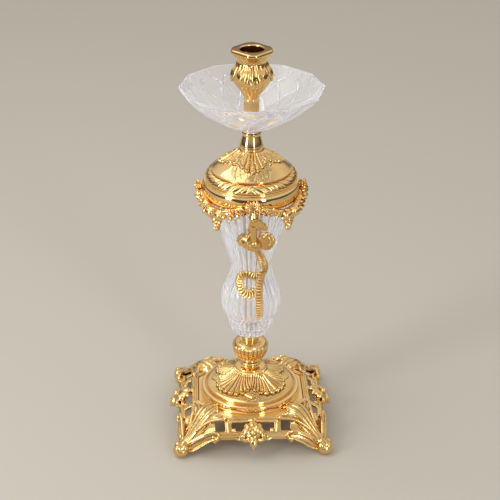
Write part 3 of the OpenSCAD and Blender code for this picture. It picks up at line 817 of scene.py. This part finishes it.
legSet = {"grain": 0.52, "softness": 3}
outward = (0, 0.55, 0.85)
legParts = [
    blade([(52, 0, 32.6), (58, 0, 35.2), (65, 0, 35.2), (73, 0, 31.2), (82, 0, 24), (90, 0, 17), (98, 0, 11)],
          [8.5, 9.5, 8.6, 6.8, 5.2, 4.4, 4.0], 5.0, (0.3, 0, 1), 0.30, 3, 1.8, cols=25),
    rope([(86, 0, 18), (94, 0, 12), (101.4, 0, 8)], [4.4, 4.6, 6.2]),
    ball((101.4, 0, 6.9), (8.2, 8.2, 6.9), 18),
    ball((105.6, 0, 10.6), (3.7, 3.7, 3.5)), ball((97.4, 0, 12.2), (3.6, 3.6, 3.5)),
    ball((101.4, 4.7, 11.0), (3.7, 3.7, 3.5)), ball((101.4, -4.7, 11.0), (3.7, 3.7, 3.5)),
    ball((53.5, 0, 35.6), (4.0, 3.8, 2.8)), ball((57.5, 5.0, 36.2), (4.2, 3.2, 2.8)),
    ball((57.5, -5.0, 36.2), (4.2, 3.2, 2.8)), ball((60, 0, 37.4), (5.5, 3.4, 2.6))]
for s in (-1, 1):
    # leaves that lie along both flanks of the shin
    legParts.append(blade([(58, 9.5 * s, 34.4), (66, 10.2 * s, 34), (75, 9 * s, 28.5), (84, 7 * s, 21),
                           (92, 5 * s, 14.5)], [1.6, 3.4, 3.2, 2.6, 1.2], 4, (0.2, 0.55 * s, 1), -0.35, 2, 0.9,
                          3, 0.15))
leg = fused("leg", legParts, lambda p: spun(p, 45), legSet["grain"], legSet["softness"])
for piece in copies(leg, 4, 90):
    keepCast(piece, "base")
print("legs ready")

sideHalf = [
    bar([(66.5, 24.6), (69, 25.6), (70.0, 24.7), (70.8, 25.0), (72.0, 24.4), (72.6, 23.2), (73.2, 23.3),
         (74, 22.4), (74, 19.0), (73, 18.2), (69, 19.4), (66.5, 22)], -0.5, 40),
    bar([(55.5, 29.6), (60.4, 29.4), (60.6, 31.2), (59.5, 32.6), (56, 33.2)], -0.5, 25),
    blade([(24.6, 57.5, 31.4), (24.6, 64, 28), (23.6, 70, 24)], [3.6, 3.2, 4.0], 2.6, outward, 0.1, 2, 0.6),
    ball((18.6, 66.4, 25.8), (2.1, 2.6, 1.6), 9), ball((6.4, 66.4, 25.8), (2.1, 2.4, 1.6), 9),
    # the hollow panel between the two leaves
    blade([(37.5, 62.5, 27), (46, 63, 25), (54, 64.5, 21), (62, 67, 15.5)], [4.5, 7.2, 7.4, 5.6], 3, outward,
          -0.22, 0),
    # the lower leaf sweeps up from the foot to a scroll at the rail
    blade([(67.5, 71.2, 6.5), (61, 73, 10.2), (54, 73.6, 15.6), (47, 73.8, 19.8), (41, 73.6, 21.8),
           (36.5, 73.2, 22)], [2.6, 3.8, 4.4, 4.2, 3.6, 2.2], 3.2, (-0.35, 1, 0.55), -0.36, 2, 1.1),
    rope([(66, 69.5, 12.5), (58, 70.2, 18), (50, 70.6, 23), (43, 71.6, 26.4), (37.2, 73, 27),
          (34.2, 74, 24.6), (35.2, 74.6, 21.6)], [1.2, 1.8, 1.9, 1.8, 1.5, 1.5, 1.7], 10),
    ball((35.8, 74.2, 20.2), (2.5, 2.4, 2.2), 10),
    rope([(38.6, 73.4, 20.5), (38, 73.9, 17.5), (36.9, 74.2, 14.6)], [2.9, 2.6, 0.5], 10),
    # the upper leaf leaves the ankle and curls over the edge of the platform
    blade([(64, 65.6, 16), (58, 61.5, 23), (51, 57.6, 29.6), (43, 55.6, 34), (35, 55.4, 35.6),
           (28.6, 56.2, 34.6)], [1.4, 3.6, 5.0, 4.4, 3.0, 1.6], 2.4, (0.1, 0.75, 0.75), -0.38, 3, 0.8, 5, 0.28),
    rope([(58, 64, 22.5), (50, 61.5, 28), (42, 59.6, 31.8), (34, 59.2, 33.2), (28.4, 58.6, 33.6)],
         [1.0, 1.5, 1.7, 1.6, 1.9], 10),
    ball((27.6, 57.6, 34.2), (2.2, 2.2, 2.0), 9)]
shellCentre = np.array([0, 73.5, 23.6])
climb, lift = np.array([0, -0.87, 0.49]), np.array([0, 0.49, 0.87])
for k, long in ((0, 14.5), (1, 13.2), (2, 11.2)):
    a = math.radians(33 * k)
    way = climb * math.cos(a) + np.array([1, 0, 0]) * math.sin(a)
    sideHalf.append(blade([shellCentre + way * d + lift * h for d, h in
                           ((2, 2.2), (long * 0.5, 4.4), (long * 0.85, 3.4), (long + 0.8, 0.6))],
                          [1.0, 2.6, 3.5, 3.4, 1.6], 3.0, (0, 0.49, 0.87), 0.42, 0, cols=13))
sideHalf += [
    ball((0, 71.5, 24), (8.5, 7, 4.2), 14),
    ball(shellCentre + lift * 5.6, (3.1, 3.1, 3.1), 12),
    ball((0, 78.4, 20.4), (4.3, 3.6, 4.0), 14),
    rope([(2.5, 76, 21.5), (7.5, 76.2, 19.6), (11.4, 75.4, 21.4), (10.8, 75.6, 24.6), (8.4, 76, 23.4)],
         [2.0, 2.3, 2.1, 1.7, 1.5], 12, 0.7),
    rope([(9, 74.5, 20.4), (14.5, 74.2, 19.4), (18.5, 73.6, 20.6)], [2.0, 1.7, 0.8], 10, 0.7),
    rope([(0, 78, 19.4), (0, 80.6, 15.8), (0, 83.1, 12.4)], [5.2, 3.9, 0.4], 12, 0.7),
    blade([(0, 58, 31.6), (0, 64, 28.6)], [2.8, 2.2], 2.6, outward, 0.2, 2, 0.5),
    ball((0, 59.6, 32.4), (4.0, 2.0, 1.7), 9)]
sideSet = {"grain": 0.55, "softness": 3}
side = fused("fretSide", sideHalf + mirrored(sideHalf), lambda p: p * [1, -1, 1], sideSet["grain"],
             sideSet["softness"])
for piece in copies(side, 4, 90):
    keepCast(piece, "base")
print("base ready")


# laurel band: slanting leaves that run away from the front

bandSet = {"leaves": 28, "slant": 1.3, "rise": 1.3, "midrib": 0.45, "sunk": 0.3,
           "skin": [(44.4, 0), (43.9, 2.5), (41.6, 6), (38.6, 8.2), (37.4, 8.9)],
           "back": [(37.2, 9.45), (34, 9.45), (35, 0)]}


def bandRelief(theta, s, r, z):
    away = np.abs((theta + tau / 4 + np.pi) % tau - np.pi)
    along = (away * bandSet["leaves"] / tau + s * bandSet["slant"]) % 1
    lens = np.sqrt(np.maximum(0, 1 - (2 * along - 1) ** 2))
    lens = lens * np.sin(np.pi * np.clip((s - 0.1) / 0.8, 0, 1)) ** 0.5
    midrib = np.exp(-((along - 0.5) / 0.06) ** 2)
    return (bandSet["rise"] - bandSet["midrib"] * midrib) * lens - bandSet["sunk"]


bandSkin = spaced(spline(bandSet["skin"], 8), 0.4)
keepCast(reliefTurn("leafBand", bandSkin, bandSet["back"], low("leaf_band"), 704, bandRelief), "leaf_band")
print("leaf band ready")


# garland: node trees scatter leaves and berries along each swag

garlandSet = {"height": 260.6, "radius": 48.2, "sag": 10.5, "core": [2.6, 3.6, 4.0, 3.6, 2.6],
              "ends": (6.6, 83.4), "rows": 4, "perRow": 7, "rowStep": 3.6, "seed": 7}
garlandScatter = {"Leaves": 125, "Berries": 36, "Spread": 2.7 * mm, "Material": cast}


def garlandTree():
    group, tree, given, leave = groupTree("garland", [
        ("Leaves", "Int"), ("Berries", "Int"), ("Spread", "Float"), ("Seed", "Int"), ("Leaf", "Object"),
        ("Berry", "Object"), ("Core", "Object"), ("Material", "Material")])
    curve = tree.node("GeometryNodeMeshToCurve", {}, {0: given["Geometry"]})
    kinds = []
    for label, shape, spin, small, large, more in (("Leaves", "Leaf", 0.75, 0.7, 1.1, 0),
                                                   ("Berries", "Berry", 3.1, 0.6, 1.2, 50)):
        spots = tree.node("GeometryNodeCurveToPoints", {"mode": "COUNT"}, {
            "Curve": curve, "Count": given[label]})
        reach = tree.node("FunctionNodeRandomValue", {"data_type": "FLOAT_VECTOR"}, {
            0: (-1, -1, -1), 1: (1, 1, 1), "Seed": given["Seed"] + more})
        shift = tree.node("ShaderNodeVectorMath", {"operation": "SCALE"}, {0: reach, "Scale": given["Spread"]})
        moved = tree.node("GeometryNodeSetPosition", {}, {"Geometry": spots, "Offset": shift})
        lean = tree.node("FunctionNodeRandomValue", {"data_type": "FLOAT_VECTOR"}, {
            0: (-spin, -spin, -spin), 1: (spin, spin, spin), "Seed": given["Seed"] + more + 1})
        size = tree.node("FunctionNodeRandomValue", {"data_type": "FLOAT"}, {
            2: small, 3: large, "Seed": given["Seed"] + more + 2})["Value"]
        size = Link(tree, [o for o in size.socket.node.outputs if o.type == "VALUE" and o.enabled][0])
        solid = tree.node("GeometryNodeObjectInfo", {}, {"Object": given[shape]})["Geometry"]
        base = Link(tree, spots.socket.node.outputs["Rotation"])
        put = tree.node("GeometryNodeInstanceOnPoints", {}, {
            "Points": moved, "Instance": solid, "Rotation": base, "Scale": size})
        kinds.append(tree.node("GeometryNodeRotateInstances", {}, {"Instances": put, "Rotation": lean}))
    core = tree.node("GeometryNodeObjectInfo", {}, {"Object": given["Core"]})["Geometry"]
    both = tree.node("GeometryNodeJoinGeometry", {}, {0: core})
    for kind in kinds:
        group.links.new(kind.socket, both.socket.node.inputs[0])
    finishTree(tree, given, both, leave)
    return group


def aside(piece):
    # a shape that only serves as an instance
    bpy.context.scene.collection.objects.unlink(piece)
    return piece


garlandLeaf = build("garlandLeaf", *blade([(0, 0, 0), (2.7, 0, 0), (5.4, 0, 0)], [0.276, 1.84, 2.3, 1.725, 0.23],
                                          0.8, (0, 0, 1), 0.35, 2, 0.575, cols=9, step=0.675))
garlandBerry = build("garlandBerry", *ball((0, 0, 0), (1.25, 1.25, 1.25), 7))
garlandGroup = garlandTree()
for number, (node, start) in enumerate((("swag_back_right", 0), ("swag_back_left", 90),
                                        ("swag_front_left", 180), ("swag_front_right", 270))):
    a = np.radians(np.linspace(*garlandSet["ends"], 40))
    level = garlandSet["height"] - garlandSet["sag"] * np.sin(2 * a) ** 1.4
    line = spun(np.stack([garlandSet["radius"] * np.cos(a), garlandSet["radius"] * np.sin(a), level], 1), start)
    mesh = bpy.data.meshes.new("swagLine")
    mesh.from_pydata((line * mm).tolist(), [(i, i + 1) for i in range(39)], [])
    swag = bpy.data.objects.new(camel(node), mesh)
    bpy.context.scene.collection.objects.link(swag)
    lowest = garlandSet["height"] - garlandSet["sag"] - 1.5
    hub = garlandSet["radius"]
    parts = [rope(line, garlandSet["core"], 12, 1.2)]
    # two domed medallions with rims, and a cone of leaves below them
    extra = []
    for s in (-1, 1):
        extra += [ball((hub + 2.6, 5.6 * s, lowest + 0.8), (3.6, 6.6, 5.6), 14),
                  ball((hub + 5.2, 5.7 * s, lowest + 1.0), (2.4, 4.9, 4.1), 12)]
    for row in range(garlandSet["rows"]):
        for k in range(garlandSet["perRow"]):
            b = tau * (k + 0.5 * (row % 2)) / garlandSet["perRow"]
            wide = 5.3 - 1.15 * row
            foot = np.array([hub - 0.4, 0, lowest - 4.5 - garlandSet["rowStep"] * row])
            out = np.array([math.cos(b), math.sin(b), 0])
            path = [foot + out * wide * share + [0, 0, up] for share, up in ((0.6, 2.2), (1, 0), (0.75, -2.6))]
            extra.append(blade(path, [1.2, 2.0, 0.4], 0.9, out, 0.3, 2, 0.4, cols=7))
    extra.append(rope([(hub - 0.4, 0, lowest - 1), (hub - 0.4, 0, lowest - 12), (hub - 0.4, 0, lowest - 18.5)],
                      [4.2, 3.2, 0.5], 12, 1.2))
    parts += [(spun(p, 45 + start), f) for p, f in extra]
    core = aside(build(camel(node) + "Core", *joined(parts)))
    shapes = {"Leaf": garlandLeaf, "Berry": garlandBerry, "Core": core}
    seed = garlandSet["seed"] + number * 11
    runTree(swag, garlandGroup, {**garlandScatter, **shapes, "Seed": seed}, 50)
    keepCast(swag, node)
aside(garlandLeaf)
aside(garlandBerry)
print("swags ready")

bowSet = {"petals": 9, "first": -100, "step": 25, "height": 261}
bowHeight = bowSet["height"]
bowParts = [ball((0, 49.6, bowHeight), (4.2, 2.6, 4.2), 12),
            rope([(0, 49.6, bowHeight - 1.5), (0, 50.6, bowHeight - 5.5), (0, 51.2, bowHeight - 9)],
                 [2.6, 2.2, 3.8], 12)]
for k in range(bowSet["petals"]):
    b = math.radians(bowSet["first"] + bowSet["step"] * k)
    tip = np.array([math.sin(b), 0, math.cos(b)])
    path = [np.array([0, y, bowHeight]) + tip * d for y, d in ((50.4, 1.5), (52.2, 4.6), (51.0, 7.6))]
    bowParts.append(blade(path, [0.8, 1.9, 0.5], 1.0, (0, 1, 0.1), 0.3, 2, 0.5, cols=9))
points, faces = joined(bowParts, lambda p: p * [1, -1, 1])
for node, start in (("bow_front", 0), ("bow_right", 90), ("bow_back", 180), ("bow_left", 270)):
    keepCast(build(camel(node), spun(points, start), faces, 50), node)


# pendant of a tassel, a horn and a fan

pendantSet = {"level": 218.0, "tilt": math.radians(21), "off": 0.8, "grain": 0.34, "softness": 1,
              # the fan's ribs: direction in degrees, and length
              "fan": [(62, 15), (46, 17.5), (30, 18.4), (14, 18.4), (-2, 18), (-17, 17), (-32, 16)]}


def onSlope(p):
    # from the pendant's own plane (across, up, out) to the sloping glass at the front
    x, y, z = p[:, 0], p[:, 1], p[:, 2]
    level, tilt = pendantSet["level"], pendantSet["tilt"]
    return np.stack([x, -z * math.cos(tilt) - y * math.sin(tilt) - vaseRadius(level) - pendantSet["off"],
                     -z * math.sin(tilt) + y * math.cos(tilt) + level], axis=1)


facing = (0, 0.02, 1)
pendantParts = [
    rope([(0.5, 39, 1.5), (0.5, 35, 2.8), (0.5, 31.5, 2.6)], [3.2, 4.6, 3.2], 14, 0.8, 0, 0.5, 10),
    rope([(0, 24, 1.6), (0, 14, 2.0), (0.5, 4, 2)], [4.2, 4.0, 3.6], 14, 0.8, 0, 0.5, 8),
    # the horn with its round mouth
    rope([(-9.5, 6.5, 3.2), (-6.5, 2, 3.4), (-2.5, -2.5, 3.4), (2, -6, 3), (5, -10, 2)],
         [5.2, 5.0, 4.4, 3.8, 2.6], 18, 0.7, 14, 0.9, 6),
    rope([(-12.2, 8.6, 3.0), (-9, 5.4, 3.4)], [4.8, 6.8], 20, 0.6),
    ball((-9.6, 7.2, 6.0), (3.4, 3.4, 3.0), 10), ball((-13.6, 4.5, 3.2), (2.0, 2.8, 2.0), 9),
    ball((-4.8, 10.2, 3.0), (2.8, 2.0, 2.0), 9), ball((2, 0, 4.4), (3.8, 3.8, 3.2), 12),
    ball((-1.6, -4.6, 3.8), (2.8, 2.4, 2.4), 9), ball((5.6, -1.6, 3.6), (2.6, 2.8, 2.6), 9),
    ball((6.4, -5.6, 3.0), (2.4, 2.4, 2.2), 9)]
for k in range(5):
    # flutes of the tassel
    x = -4.0 + 2.2 * k
    pendantParts.append(rope([(0.3 + 0.5 * x, 33, 2.6), (0.8 * x, 25, 3.0), (1.08 * x, 17.5, 2.4)],
                             [1.1, 1.6, 1.3], 9))
pendantParts.append(blade([(2, 33, 2.8), (6.4, 26.6, 3), (10.5, 20.5, 2.2), (13.5, 17.6, 1.6)],
                          [1.8, 2.8, 3.8, 1.6], 1.8, facing, 0.2, 4, 0.9))
for b, long in pendantSet["fan"]:
    way = np.array([math.cos(math.radians(b)), math.sin(math.radians(b)), 0])
    root = np.array([3.5, -1.6, 0])
    pendantParts.append(blade([root + way * 1, root + way * long * 0.55 + [0, 0, 2.8], root + way * long],
                              [0.8, 2.0, 2.6, 2.4], 1.6, facing, 0.35, 3, 0.9, 5, 0.25))
for node, start in (("trophy_front", 0), ("trophy_back", 180)):
    pendant = fused(camel(node), pendantParts, lambda p: spun(onSlope(p), start), pendantSet["grain"],
                    pendantSet["softness"])
    keepCast(pendant, node)


# ribbon that winds down over the glass

ribbonSet = {"half": 3.6, "thick": 1.5, "pleat": 2.6, "relief": 1.35, "near": (0.45, 0.75), "step": 0.42}
ribbonRoutes = [
    # down from the pendant, round to the left and back in a hook
    [(4, 216), (5, 207), (8, 198), (11.5, 188), (12.8, 181), (10, 175.8), (3, 174.6), (-3.8, 176.8), (-10, 174),
     (-12.2, 166.5), (-9, 159.8), (-3, 157.6), (3.5, 160)],
    # and the end that hangs straight
    [(10.5, 177), (8.5, 170), (7, 160), (6.8, 147), (6.8, 133.5)]]


def ribbonStrip(route, near):
    line = spaced(spline(route, 10), ribbonSet["step"])
    run = np.arange(len(line)) * ribbonSet["step"]
    heading = np.gradient(line, axis=0)
    heading /= np.linalg.norm(heading, axis=1)[:, None]
    crossing = np.stack([heading[:, 1], -heading[:, 0]], axis=1)
    wave = ribbonSet["half"] * (1 + 0.07 * np.sin(run * tau / ribbonSet["pleat"]))
    across = np.linspace(-1, 1, 21)[None, :]
    flat = line[:, None] + crossing[:, None] * (wave[:, None] * across)[..., None]
    pleats = np.abs(np.sin(np.pi * run[:, None] / ribbonSet["pleat"] + 1.2 * np.abs(across)))
    top = ribbonSet["thick"] + ribbonSet["relief"] * pleats * (1 - across ** 6) + 0.45 * across ** 8
    layers = []
    for out in (near + top, near + 0 * top):
        r = vaseRadius(flat[..., 1]) + out
        layers.append(np.stack([flat[..., 0], -np.sqrt(r ** 2 - flat[..., 0] ** 2), flat[..., 1]], axis=-1))
    grid = np.concatenate([layers[0], layers[1][:, ::-1]], axis=1)
    return grid.reshape(-1, 3), capped(len(line), grid.shape[1])


points, faces = joined([ribbonStrip(route, near) for route, near in zip(ribbonRoutes, ribbonSet["near"])])
for node, start in (("ribbon_front", 0), ("ribbon_back", 180)):
    ribbon = build(camel(node), spun(points, start), faces, 60)
    keep(ribbon, stippled, "stippled_brass", "stand", node)
print("pendants and ribbons ready")


# finishes of the hidden parts, which keep their CAD shape

finishes = {"zinc_steel": zinc, "gasket_rubber": rubber, "dull_brass": dull, "cast_brass": cast,
            "polished_brass": polished, "stippled_brass": stippled, "cut_crystal": cutGlass}
slotOf = {row["node"]: row["material_slot"] for row in frame["record"]["subparts"]}
for nodeName, node in frame["nodes"].items():
    node.data.materials.clear()
    node.data.materials.append(finishes[slotOf[nodeName]])
